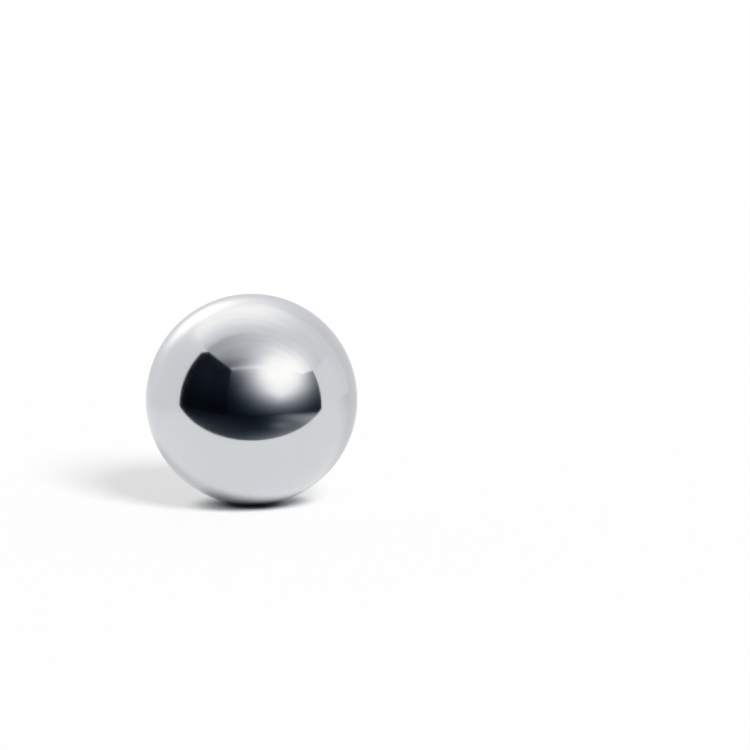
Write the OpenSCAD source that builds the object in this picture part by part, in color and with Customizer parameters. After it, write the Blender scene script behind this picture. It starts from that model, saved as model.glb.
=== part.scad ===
// Polished steel ball: one solid, hardened, ground and lapped all over.
// Millimetres, +Z up. The origin is the centre of the ball, which is the
// point that a seat, cage or measuring probe locates it by.
// A ball has no flat, hole, seam or edge: every point of its surface lies
// at the same distance from the centre, so one diameter gives all of it.

/* [Ball] */
// Diameter of the ball
ball_d = 50; // [1:0.5:150]

/* [Hidden] */
// Segments round the ball in the preview
preview_segments = 180;

// The ball, centred on the origin
module ball() {
    color("silver")
        sphere(d = ball_d, $fn = preview_segments);
}

ball();
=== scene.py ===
"""A polished steel ball, seen in the small white studio that its surface mirrors.

Metres, +Z up, origin at the centre of the ball. The ball is the CAD node with a better finish.
All the rest is stage: a pale floor, a soft lamp, and the studio's cards, which glow with
painted light and shade and show only in mirrors. Their shapes come from the outlines of their
reflections in the photograph.
"""

import math

import bpy
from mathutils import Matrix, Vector


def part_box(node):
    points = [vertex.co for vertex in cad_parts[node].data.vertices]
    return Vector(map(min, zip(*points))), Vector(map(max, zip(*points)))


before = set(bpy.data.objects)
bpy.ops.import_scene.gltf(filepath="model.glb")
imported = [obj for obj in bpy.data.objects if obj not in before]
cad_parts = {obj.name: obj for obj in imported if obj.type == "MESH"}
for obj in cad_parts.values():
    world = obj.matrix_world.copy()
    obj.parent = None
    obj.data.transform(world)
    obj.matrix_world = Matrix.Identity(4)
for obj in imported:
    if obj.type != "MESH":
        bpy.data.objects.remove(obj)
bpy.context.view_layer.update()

# The ball, from the frame
low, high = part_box("ball")
RADIUS = (high.z - low.z) / 2

# The photograph: its side, and where the ball's outline lies in it, in pixels
PHOTO_SIDE = 750
BALL_PX = (251.55, 399.1)
BALL_RADIUS_PX = 105.7
CAMERA_DISTANCE = 1.4
CAMERA_ELEVATION = math.radians(8.85)
SENSOR_MM = 36.0

# The studio, in radii of the ball from its centre. Front is -Y, where the camera stands.
FLOOR_Z = -1.0
TABLE_FRONT = -2.0
LEFT, RIGHT, BACK, FRONT, TOP = -16.8, 22.4, 20.0, -20.7, 18.9
# Where the side walls end in front, and the height of the right one, which is lower
LEFT_FRONT = -2.1
RIGHT_FRONT = -3.9
RIGHT_TOP = 11.25
# The small gusset between the left wall's front edge and the roof
GUSSET_DROP = 2.5
GUSSET_END = (LEFT + 0.85, LEFT_FRONT - 2.6, TOP)
# The roof: where it starts to slope down, its bulging left edge, and the fold across it
CORNER = 13.0
ROOF_BULGE = (-13.95, -11.45, TOP)
BROAD_FOLD = (-4.3, 6.7)
SHARP_FOLD = (-2.6, -0.3)
FOLD_SLANT = 0.07
# The cloth in front: its left edge, its foot, and the bend in its wing on the right
CLOTH_LEFT = -10.3
CLOTH_FOOT = -3.0
BEND = (20.7, -9.6, 11.8)
# The room beyond the table's edge, the ground of it, and how far each of them reaches
ROOM = 90.0
ROOM_GAP = 0.01
GROUND = -8.0
GROUND_REACH = 50.0
FLOOR_REACH = 200.0

# The light: share from all round, and share from a soft lamp in front on the right
SKY_SHARE = 0.4
LAMP_SHARE = 0.6
LAMP_AZIMUTH = math.radians(28)
LAMP_ELEVATION = math.radians(40)
LAMP_WIDTH = math.radians(21)

# The floor's colour, with a painted shadow in it: darker where the ball stands on it
FLOOR_WHITE = 0.98
PAINTED_SHADOW_UNDER_BALL = 0.3
DARK_UNDER_BALL = (0.16, 0.39)
# The share of plain white that is seen in it, a painted glow, which rises in two steps away from
# the ball
NEAR_WHITE = 0.55
FAR_WHITE = 0.45
NEAR_WHITE_MIDDLE = (0.05, -0.05, 0.0)
NEAR_WHITE_FROM = (0.4, 0.72)
FAR_WHITE_FROM = (4.0, 25.0)
# How much darker mirrors see it. Sideways and backward are parts of the direction from the ball.
FAR_SHADE = (0.08, 0.01)
FAR_SHADE_SIDEWAYS = (-1.0, 0.8)
FAR_SHADE_FROM = (3.2, 8.5)
BACK_SHADE = (0.04, 0.21)
BACK_SHADE_SIDEWAYS = (-0.8, 0.2)
BACK_SHADE_BACKWARD = (0.1, 0.65)

# The steel: its colour and roughness where its thin film is thinnest and where it is thickest
BARE_COLOUR = (0.635, 0.655, 0.675)
FILM_COLOUR = (0.625, 0.645, 0.665)
ROUGHNESS = (0.078, 0.098)
# The noise that the film's thickness follows, in waves to a radius, and its finer steps
FILM_SCALE = 2.5
FILM_DETAIL = 4.0
# Its hairlines: how much rougher they are, which ways they run, how fine and how sparse they are
HAIRLINE_ROUGHNESS = 0.02
HAIRLINE_TURNS = ((0.4, 0.3, 0.9), (1.1, -0.6, 0.2))
HAIRLINE_STRETCH = (1.5, 70.0, 1.5)
HAIRLINE_FROM = (0.6, 0.75)

# Nearly all values of a noise lie between these
NOISE_RANGE = (0.3, 0.7)


def radii(*numbers):
    """A point given in radii of the ball, in metres."""
    return Vector(numbers) * RADIUS


# ---------------------------------------------------------------- node helpers


def new_tree(name):
    """A material with no nodes but its output. Gives it, its tree and that output."""
    material = bpy.data.materials.new(name)
    material.use_nodes = True
    tree = material.node_tree
    tree.nodes.clear()
    return material, tree, tree.nodes.new("ShaderNodeOutputMaterial")


def feed(tree, socket, value):
    """Link a socket to a socket, or write a value in it."""
    if isinstance(value, bpy.types.NodeSocket):
        tree.links.new(value, socket)
    else:
        socket.default_value = value


def maths(tree, operation, *values):
    """The output of a Math node."""
    made = tree.nodes.new("ShaderNodeMath")
    made.operation = operation
    for socket, value in zip(made.inputs, values):
        feed(tree, socket, value)
    return made.outputs[0]


def vector_maths(tree, operation, *values):
    """The output of a Vector Math node, as a number where it gives one."""
    made = tree.nodes.new("ShaderNodeVectorMath")
    made.operation = operation
    for socket, value in zip(made.inputs, values):
        feed(tree, socket, value)
    return made.outputs["Value" if operation in ("LENGTH", "DOT_PRODUCT") else "Vector"]


def place(tree):
    """The place of the shaded point, in radii of the ball."""
    here = tree.nodes.new("ShaderNodeTexCoord").outputs["Object"]
    return vector_maths(tree, "DIVIDE", here, (RADIUS, RADIUS, RADIUS))


def smooth_fade(tree, value, start, end, low_level, high_level):
    """A level that passes smoothly from low to high as a value passes from start to end."""
    fade = tree.nodes.new("ShaderNodeMapRange")
    fade.interpolation_type = "SMOOTHSTEP"
    settings = (value, start, end, low_level, high_level)
    for socket, setting in zip(fade.inputs, settings):
        feed(tree, socket, setting)
    return fade.outputs["Result"]


def mix_colour(tree, factor, a, b):
    """A colour between two colours, each a colour or a socket."""
    made = tree.nodes.new("ShaderNodeMix")
    made.data_type = "RGBA"
    # a colour mix has its own sockets, the ones that hold four numbers
    first, second = [socket for socket in made.inputs if socket.type == "RGBA"]
    feed(tree, made.inputs["Factor"], factor)
    for socket, colour in ((first, a), (second, b)):
        feed(tree, socket, (*colour, 1) if isinstance(colour, tuple) else colour)
    return next(socket for socket in made.outputs if socket.type == "RGBA")


def looking_rays(tree):
    """1 for what the camera, mirrors and glass look at, and 0 for the light on a matte surface."""
    rays = tree.nodes.new("ShaderNodeLightPath").outputs
    looking = maths(tree, "MAXIMUM", rays["Is Camera Ray"], rays["Is Glossy Ray"])
    return maths(tree, "MAXIMUM", looking, rays["Is Transmission Ray"])


# ------------------------------------------------------- the studio's surfaces

# The light that each card gives off all over
LEFT_LEVEL = 0.97
RIGHT_LEVEL = 1.045
BACK_LEVEL = 0.96
ROOF_LEVEL = 0.94
FRONT_LEVEL = 0.006
ROOM_LEVEL = 0.0025
GROUND_LEVEL = 0.0095
BRIGHTEST = 1.5
# Each spot of light: brightness, centre and spread, in radii. A negative one is a shade.
FRONT_SPOTS = (
    (3.7, (1.0, -22.4, 30.4), (9.4, 2.8, 9.6)),
    (3.35, (13.5, -20.6, 12.6), (10.1, 13.1, 7.65)),
    (-1.0, (12.5, -19.6, 10.9), (7.1, 6.0, 3.4)),
)
BACK_SPOTS = (
    (3.8, (-10.4, 23.4, 13.5), (5.8, 5.8, 5.8)),
    (3.6, (-13.9, 10.6, 30.2), (8.1, 8.1, 8.1)),
    (0.78, (-0.6, 12.0, 18.1), (9.6, 9.6, 9.6)),
)
ROOF_SPOTS = ((-0.61, (-14.0, -19.0, TOP), (17.0, 11.4, 5.0)),)
# The fold's sharp painted shade near the left wall: depth, centre and spread, taken away from the
# roof's light
FOLD_SHADE_SPOT = (0.55, (-12.2, 5.0, TOP), (8.6, 7.6, 5.0))
SEAM_SPOTS = ((0.175, (-10.5, -20.4, 18.8), (5.0, 1.7, 0.8)),)
CORNER_SHADES = ((-0.11, (RIGHT, 16.7, 10.0), (21.4, 6.7, 20.0)),)
BACK_SHADES = ((-0.16, (0.0, BACK, 0.0), (17.0, 5.0, 17.0)),)
GROUND_SPOTS = (
    (0.5, (-18.0, 33.0, GROUND), (20.8, 28.8, 5.0)),
    (0.5, (7.3, -5.5, GROUND), (9.1, 6.3, 5.0)),
    (0.11, (12.8, -19.6, GROUND), (4.5, 5.3, 5.0)),
    (0.5, (32.0, 9.5, GROUND), (14.2, 43.0, 5.0)),
)
GLOOM_SPOTS = ((0.016, (-60.0, -60.0, 70.0), (50.0, 50.0, 50.0)),)
# How deep the streaks of painted light and shade from folds are, and how the noise that makes them
# is stretched along each axis
ROOF_STREAKS = (0.075, (0.05, 0.5, 0.0))
FRONT_STREAKS = (0.08, (0.05, 0.0, 0.5))
# How many finer steps that noise has, and how strong they are
STREAK_DETAIL = 3.0
STREAK_ROUGHNESS = 0.75
# How dark the roof's fold is
BROAD_SHADE = 0.18
# Colours of light: in the dark, on the walls, and on the lamp's cloth
DARK_TINT = (0.60, 1.0, 1.58)
WALL_TINT = (1.025, 1.0, 0.98)
LAMP_TINT = (1.035, 1.0, 0.965)
HALF_WARM = 0.05
LAMP_TINT_FROM = (1.0, 1.4)


def spot(tree, where, peak, centre, spread):
    """A soft round patch of light, brightest at its centre and gone a few spreads away."""
    offset = vector_maths(tree, "SUBTRACT", where, centre)
    offset = vector_maths(tree, "DIVIDE", offset, spread)
    away = vector_maths(tree, "DOT_PRODUCT", offset, offset)
    fall = maths(tree, "EXPONENT", maths(tree, "MULTIPLY", away, -1.0))
    return maths(tree, "MULTIPLY", fall, peak)


def folds(tree, where, depth, stretch):
    """Faint streaks of painted light and shade from folds across a hung cloth, as a factor near 1.
    """
    stretched = vector_maths(tree, "MULTIPLY", where, stretch)
    noise = tree.nodes.new("ShaderNodeTexNoise")
    noise.inputs["Scale"].default_value = 1.0
    noise.inputs["Detail"].default_value = STREAK_DETAIL
    noise.inputs["Roughness"].default_value = STREAK_ROUGHNESS
    tree.links.new(stretched, noise.inputs["Vector"])
    return smooth_fade(tree, noise.outputs[0], *NOISE_RANGE, 1.0 - depth, 1.0 + depth)


def roof_fold(tree, where):
    """The shade in front of the roof's fold: broad, and sharp near the left wall."""
    across = vector_maths(tree, "DOT_PRODUCT", where, (-FOLD_SLANT, 1.0, 0.0))
    broad = smooth_fade(tree, across, *BROAD_FOLD, BROAD_SHADE, 0.0)
    sharp = smooth_fade(tree, across, *SHARP_FOLD, 1.0, 0.0)
    sharp = maths(tree, "MULTIPLY", sharp, spot(tree, where, *FOLD_SHADE_SPOT))
    return maths(tree, "ADD", broad, sharp)


def lit_surface(name, level, spots=(), shade=None, streaks=None):
    """A surface that gives off its own level of light and its spots, cooler where it is dark."""
    material, tree, output = new_tree(name)
    where = place(tree)
    total = level
    for peak, centre, spread in spots:
        total = maths(tree, "ADD", total, spot(tree, where, peak, centre, spread))
    if shade:
        total = maths(tree, "SUBTRACT", total, shade(tree, where))
    if streaks:
        total = maths(tree, "MULTIPLY", total, folds(tree, where, *streaks))
    total = maths(tree, "MAXIMUM", total, 0.0)
    # the brightest level is reached softly, so a lamp has no hard edge
    total = maths(tree, "SMOOTH_MIN", total, BRIGHTEST, BRIGHTEST)
    warmth = maths(tree, "DIVIDE", total, maths(tree, "ADD", total, HALF_WARM))
    colour = mix_colour(tree, warmth, DARK_TINT, WALL_TINT)
    lamp_share = smooth_fade(tree, total, *LAMP_TINT_FROM, 0.0, 1.0)
    colour = mix_colour(tree, lamp_share, colour, LAMP_TINT)
    emission = tree.nodes.new("ShaderNodeEmission")
    tree.links.new(colour, emission.inputs["Color"])
    tree.links.new(total, emission.inputs["Strength"])
    tree.links.new(emission.outputs[0], output.inputs["Surface"])
    return material


def flat_faces(name, material, *faces):
    """An object of flat faces, given by their corners in radii."""
    corners = [radii(*corner) for face in faces for corner in face]
    order = iter(range(len(corners)))
    mesh = bpy.data.meshes.new(name)
    mesh.from_pydata(corners, [], [[next(order) for _ in face] for face in faces])
    mesh.materials.append(material)
    made = bpy.data.objects.new(name, mesh)
    bpy.context.scene.collection.objects.link(made)
    return made


def card(name, material, *faces):
    """A stage card of flat faces, which shows only in mirrors."""
    made = flat_faces(name, material, *faces)
    made.visible_camera = False
    made.visible_diffuse = False
    made.visible_shadow = False


def upright(start, end, bottom, start_top, end_top):
    """An upright four-cornered face between two points of the ground plan."""
    return [(*start, bottom), (*end, bottom), (*end, end_top), (*start, start_top)]


def level_face(start, end, reach, height):
    """A level face from one y to another, that reaches as far to the left as to the right."""
    plan = ((-reach, start), (reach, start), (reach, end), (-reach, end))
    return [(*corner, height) for corner in plan]


def build_walls():
    """The left, right and back walls of the studio."""
    card(
        "wall_left",
        lit_surface("left_cloth", LEFT_LEVEL, BACK_SPOTS),
        upright((LEFT, LEFT_FRONT), (LEFT, BACK), FLOOR_Z, TOP, TOP),
        [(LEFT, LEFT_FRONT, TOP), (LEFT, LEFT_FRONT, TOP - GUSSET_DROP), GUSSET_END],
    )
    card(
        "wall_right",
        lit_surface("right_cloth", RIGHT_LEVEL, BACK_SPOTS + CORNER_SHADES),
        upright((RIGHT, BACK), (RIGHT, RIGHT_FRONT), GROUND, RIGHT_TOP, RIGHT_TOP),
    )
    card(
        "wall_back",
        lit_surface("back_cloth", BACK_LEVEL, BACK_SPOTS + CORNER_SHADES + BACK_SHADES),
        [
            (LEFT, BACK, FLOOR_Z),
            (RIGHT, BACK, FLOOR_Z),
            (RIGHT, BACK, RIGHT_TOP),
            (CORNER, BACK, TOP),
            (LEFT, BACK, TOP),
        ],
    )


def build_roof():
    """The roof, which narrows to the front cloth and slopes down to the right wall."""
    spots = FRONT_SPOTS + BACK_SPOTS + ROOF_SPOTS + SEAM_SPOTS
    card(
        "roof",
        lit_surface("roof_cloth", ROOF_LEVEL, spots, roof_fold, ROOF_STREAKS),
        [
            (LEFT, LEFT_FRONT, TOP),
            (LEFT, BACK, TOP),
            (CORNER, BACK, TOP),
            (CORNER, FRONT, TOP),
            (CLOTH_LEFT, FRONT, TOP),
            ROOF_BULGE,
        ],
        [
            (CORNER, FRONT, TOP),
            (CORNER, BACK, TOP),
            (RIGHT, BACK, RIGHT_TOP),
            (RIGHT, RIGHT_FRONT, RIGHT_TOP),
            BEND,
        ],
    )


def build_front():
    """The cloth that hangs in front, with a lamp behind it, and its wing on the right."""
    spots = FRONT_SPOTS + SEAM_SPOTS
    bend, bend_top = BEND[:2], BEND[2]
    card(
        "front_cloth",
        lit_surface("front_cloth", FRONT_LEVEL, spots, streaks=FRONT_STREAKS),
        upright((CLOTH_LEFT, FRONT), (CORNER, FRONT), CLOTH_FOOT, TOP, TOP),
        upright((CORNER, FRONT), bend, CLOTH_FOOT, TOP, bend_top),
        upright(bend, (RIGHT, RIGHT_FRONT), CLOTH_FOOT, bend_top, RIGHT_TOP),
    )


def build_room():
    """The dark room in front of the table's edge, and its floor."""
    near = TABLE_FRONT - ROOM_GAP
    far = -ROOM
    card(
        "room",
        lit_surface("room_gloom", ROOM_LEVEL, GLOOM_SPOTS),
        upright((-ROOM, far), (ROOM, far), -ROOM, ROOM, ROOM),
        upright((-ROOM, near), (-ROOM, far), -ROOM, ROOM, ROOM),
        upright((ROOM, near), (ROOM, far), -ROOM, ROOM, ROOM),
        level_face(far, near, ROOM, ROOM),
        level_face(far, near, ROOM, -ROOM),
    )
    card(
        "ground",
        lit_surface("ground_gloom", GROUND_LEVEL, GROUND_SPOTS),
        level_face(-GROUND_REACH, near, ROOM, GROUND),
    )


# ------------------------------------------------------------ floor and lights


def glow(tree, strength):
    """A white emission of a given strength."""
    made = tree.nodes.new("ShaderNodeEmission")
    made.inputs["Strength"].default_value = strength
    return made.outputs[0]


def mix_shaders(tree, factor, a, b):
    """A shader between two shaders."""
    made = tree.nodes.new("ShaderNodeMixShader")
    for socket, value in zip(made.inputs, (factor, a, b)):
        tree.links.new(value, socket)
    return made.outputs[0]


def mirror_shade(tree, contact, away):
    """How much darker mirrors see the floor: far off on the left, and behind on the right."""
    direction = tree.nodes.new("ShaderNodeSeparateXYZ")
    tree.links.new(vector_maths(tree, "NORMALIZE", contact), direction.inputs[0])
    sideways, backward = direction.outputs["X"], direction.outputs["Y"]
    far_shade = smooth_fade(tree, sideways, *FAR_SHADE_SIDEWAYS, *FAR_SHADE)
    far_shade = smooth_fade(tree, away, *FAR_SHADE_FROM, 0.0, far_shade)
    back_shade = smooth_fade(tree, sideways, *BACK_SHADE_SIDEWAYS, *BACK_SHADE)
    back_shade = smooth_fade(tree, backward, *BACK_SHADE_BACKWARD, 0.0, back_shade)
    return maths(tree, "ADD", far_shade, back_shade)


def floor_material():
    """Pale floor: dark where the ball stands, from its real shadow and a painted shadow in its
    colour, plain white far off, a little grey in mirrors.
    """
    material, tree, output = new_tree("pale_floor")
    contact = vector_maths(tree, "SUBTRACT", place(tree), (0, 0, FLOOR_Z))
    away = vector_maths(tree, "LENGTH", contact)
    matte = tree.nodes.new("ShaderNodeBsdfDiffuse")
    # painted shadow: the floor's colour darkens towards where the ball stands
    shade = smooth_fade(tree, away, *DARK_UNDER_BALL, PAINTED_SHADOW_UNDER_BALL, FLOOR_WHITE)
    tree.links.new(shade, matte.inputs["Color"])

    # painted light: a white glow seen on the floor, none right under the ball, more further off
    beside = vector_maths(tree, "SUBTRACT", contact, NEAR_WHITE_MIDDLE)
    beside = vector_maths(tree, "LENGTH", beside)
    near_white = smooth_fade(tree, beside, *NEAR_WHITE_FROM, 0.0, NEAR_WHITE)
    far_white = smooth_fade(tree, away, *FAR_WHITE_FROM, 0.0, FAR_WHITE)
    white_share = maths(tree, "ADD", near_white, far_white)
    white_share = maths(tree, "MULTIPLY", white_share, looking_rays(tree))
    surface = mix_shaders(tree, white_share, matte.outputs[0], glow(tree, 1.0))

    mirrored = tree.nodes.new("ShaderNodeLightPath").outputs["Is Glossy Ray"]
    dimming = maths(tree, "MULTIPLY", mirrored, mirror_shade(tree, contact, away))
    surface = mix_shaders(tree, dimming, surface, glow(tree, 0.0))
    tree.links.new(surface, output.inputs["Surface"])
    return material


def build_floor():
    """The table top, and before its front edge a floor that doesn't show in mirrors."""
    material = floor_material()
    for name, near, far in (
        ("table_top", TABLE_FRONT, FLOOR_REACH),
        ("floor_in_front", -FLOOR_REACH, TABLE_FRONT),
    ):
        made = flat_faces(name, material, level_face(near, far, FLOOR_REACH, FLOOR_Z))
        made.visible_glossy = name == "table_top"


def build_lights():
    """A white world for what is seen, a dimmer one that lights, and one broad soft lamp."""
    world = bpy.data.worlds.new("soft_white")
    bpy.context.scene.world = world
    world.use_nodes = True
    tree = world.node_tree
    level = maths(tree, "MULTIPLY_ADD", looking_rays(tree), 1.0 - SKY_SHARE, SKY_SHARE)
    background = tree.nodes["Background"]
    background.inputs["Color"].default_value = (1, 1, 1, 1)
    tree.links.new(level, background.inputs["Strength"])

    data = bpy.data.lights.new("soft_lamp", "SUN")
    data.angle = LAMP_WIDTH
    data.energy = math.pi * LAMP_SHARE / math.sin(LAMP_ELEVATION)
    lamp = bpy.data.objects.new("soft_lamp", data)
    bpy.context.scene.collection.objects.link(lamp)
    lamp.rotation_euler = (math.pi / 2 - LAMP_ELEVATION, 0, LAMP_AZIMUTH)
    lamp.visible_glossy = False


# -------------------------------------------------------------------- the ball


def hairlines(tree, where, turn):
    """Fine hairlines that run one way, from 0 to 1."""
    mapping = tree.nodes.new("ShaderNodeMapping")
    mapping.inputs["Rotation"].default_value = turn
    mapping.inputs["Scale"].default_value = HAIRLINE_STRETCH
    tree.links.new(where, mapping.inputs["Vector"])
    noise = tree.nodes.new("ShaderNodeTexNoise")
    noise.inputs["Scale"].default_value = 1.0
    noise.inputs["Detail"].default_value = 1.0
    tree.links.new(mapping.outputs["Vector"], noise.inputs["Vector"])
    return smooth_fade(tree, noise.outputs[0], *HAIRLINE_FROM, 0.0, 1.0)


def sphere_normal(tree, where):
    """The normal of the true sphere. The mesh's own wavers a little beside its seam."""
    turned = tree.nodes.new("ShaderNodeVectorTransform")
    turned.vector_type = "NORMAL"
    turned.convert_from = "OBJECT"
    turned.convert_to = "WORLD"
    tree.links.new(vector_maths(tree, "NORMALIZE", where), turned.inputs[0])
    return turned.outputs[0]


def polished_steel():
    """Hardened steel, lapped to a mirror: a thin uneven film, and hairlines in two directions."""
    material, tree, output = new_tree("polished_steel")
    where = place(tree)
    film = tree.nodes.new("ShaderNodeTexNoise")
    film.inputs["Scale"].default_value = FILM_SCALE
    film.inputs["Detail"].default_value = FILM_DETAIL
    tree.links.new(where, film.inputs["Vector"])
    dulling = smooth_fade(tree, film.outputs[0], *NOISE_RANGE, *ROUGHNESS)
    for turn in HAIRLINE_TURNS:
        lines = maths(tree, "MULTIPLY", hairlines(tree, where, turn), HAIRLINE_ROUGHNESS)
        dulling = maths(tree, "ADD", dulling, lines)
    shader = tree.nodes.new("ShaderNodeBsdfPrincipled")
    shader.inputs["Metallic"].default_value = 1.0
    tree.links.new(sphere_normal(tree, where), shader.inputs["Normal"])
    tree.links.new(dulling, shader.inputs["Roughness"])
    thickness = smooth_fade(tree, film.outputs[0], *NOISE_RANGE, 0.0, 1.0)
    colour = mix_colour(tree, thickness, BARE_COLOUR, FILM_COLOUR)
    tree.links.new(colour, shader.inputs["Base Color"])
    tree.links.new(shader.outputs[0], output.inputs["Surface"])
    return material


def finish_ball():
    """The CAD ball with its steel, in place of the plain colour."""
    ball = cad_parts["ball"]
    ball.data.materials.clear()
    ball.data.materials.append(polished_steel())


# ------------------------------------------------------------------ the camera


def build_camera():
    """A long lens at the photograph's angle, with the ball where the photograph has it."""
    data = bpy.data.cameras.new("camera")
    camera = bpy.data.objects.new("camera", data)
    bpy.context.scene.collection.objects.link(camera)
    back = Vector((0, -math.cos(CAMERA_ELEVATION), math.sin(CAMERA_ELEVATION)))
    up = Vector((0, math.sin(CAMERA_ELEVATION), math.cos(CAMERA_ELEVATION)))
    right = Vector((1, 0, 0))
    camera.location = back * CAMERA_DISTANCE

    metres_a_pixel = RADIUS / BALL_RADIUS_PX
    middle = PHOTO_SIDE / 2
    aim = right * (middle - BALL_PX[0]) * metres_a_pixel
    aim += up * (BALL_PX[1] - middle) * metres_a_pixel
    camera.rotation_mode = "QUATERNION"
    camera.rotation_quaternion = (aim - camera.location).to_track_quat("-Z", "Y")

    outline = math.sqrt(CAMERA_DISTANCE**2 - RADIUS**2) / RADIUS
    data.sensor_width = SENSOR_MM
    data.lens = BALL_RADIUS_PX * outline * SENSOR_MM / PHOTO_SIDE
    bpy.context.scene.camera = camera


bpy.context.scene.view_settings.view_transform = "Standard"
build_camera()
build_lights()
build_floor()
build_walls()
build_roof()
build_front()
build_room()
finish_ball()
